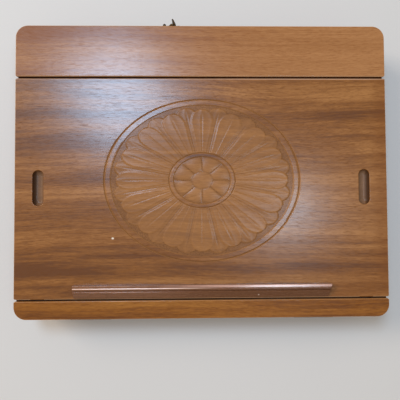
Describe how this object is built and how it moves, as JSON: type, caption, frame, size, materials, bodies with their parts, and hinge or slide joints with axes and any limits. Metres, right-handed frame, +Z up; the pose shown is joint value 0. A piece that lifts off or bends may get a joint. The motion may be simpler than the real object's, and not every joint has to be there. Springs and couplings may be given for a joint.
{
  "type": "wooden keepsake display case with easel lid",
  "caption": "Flat wooden keepsake case whose hinged lid props up as a sloping stand with a ledge; a carved board slides in the lid and a hook latch shuts it.",
  "frame": {"origin": "on the table under the middle of the case, at the level of the feet", "axes": "+X to the reader's right along the ledge, +Y away from the reader towards the latch, +Z up out of the lid"},
  "size_m": [0.457, 0.3752, 0.079],
  "materials": {
    "case_wood": "satin varnished walnut-coloured hardwood",
    "lid_wood": "satin varnished walnut-coloured hardwood",
    "panel_wood": "satin varnished walnut-coloured hardwood, carved in low relief",
    "ledge_wood": "varnished reddish brown hardwood moulding",
    "plywood": "bare plywood",
    "felt": "dark green felt",
    "rubber": "matt black rubber",
    "bronze": "dark antiqued brass",
    "steel": "zinc plated steel"
  },
  "bodies": {
    "case": {"back_left_foot": "rubber", "back_right_foot": "rubber", "back_wall": "case_wood", "bottom_panel": "plywood", "catch_post": "bronze", "catch_screws": "bronze", "floor_lining": "felt", "front_left_foot": "rubber", "front_right_foot": "rubber", "front_wall": "case_wood", "hinge_case_screws": "bronze", "left_hinge_case_leaf": "bronze", "left_hinge_pin": "bronze", "left_stay_bracket": "steel", "left_stay_rivet": "steel", "left_wall": "case_wood", "right_hinge_case_leaf": "bronze", "right_hinge_pin": "bronze", "right_stay_bracket": "steel", "right_stay_rivet": "steel", "right_wall": "case_wood", "stay_bracket_screws": "steel"},
    "lid": {"far_rail": "lid_wood", "near_rail": "lid_wood", "left_batten": "lid_wood", "right_batten": "lid_wood", "batten_screws": "steel", "left_hinge_lid_leaf": "bronze", "right_hinge_lid_leaf": "bronze", "hinge_lid_screws": "bronze", "left_stay_track": "steel", "right_stay_track": "steel", "track_screws": "steel", "latch_plate": "bronze", "latch_plate_screws": "bronze", "latch_pivot": "bronze"},
    "panel": {"sliding_panel": "panel_wood", "ledge_rail": "ledge_wood", "ledge_screws": "steel"},
    "hook": {"latch_hook": "bronze"},
    "left_stay": {"left_stay_arm": "steel", "left_stay_pin": "steel"},
    "right_stay": {"right_stay_arm": "steel", "right_stay_pin": "steel"}
  },
  "joints": [
    {"name": "lid_hinge", "type": "hinge", "parent": "case", "child": "lid", "pos_m": [0, -0.1818, 0.05], "axis": [1, 0, 0], "range_deg": [0, 55]},
    {"name": "panel_slide", "type": "slide", "parent": "lid", "child": "panel", "axis": [1, 0, 0], "range_m": [-0.46, 0.46]},
    {"name": "latch_swing", "type": "hinge", "parent": "lid", "child": "hook", "pos_m": [-0.037, 0.1811, 0.0635], "axis": [0, -1, 0], "range_deg": [-22, 35]},
    {"name": "left_stay_swing", "type": "hinge", "parent": "case", "child": "left_stay", "pos_m": [0, -0.0618, 0.05], "axis": [1, 0, 0], "range_deg": [0, 110]},
    {"name": "right_stay_swing", "type": "hinge", "parent": "case", "child": "right_stay", "pos_m": [0, -0.0618, 0.05], "axis": [1, 0, 0], "range_deg": [0, 110]}
  ],
  "couplings": [
    {"joint": "left_stay_swing", "follows": "lid_hinge", "ratio": 2},
    {"joint": "right_stay_swing", "follows": "lid_hinge", "ratio": 2}
  ]
}
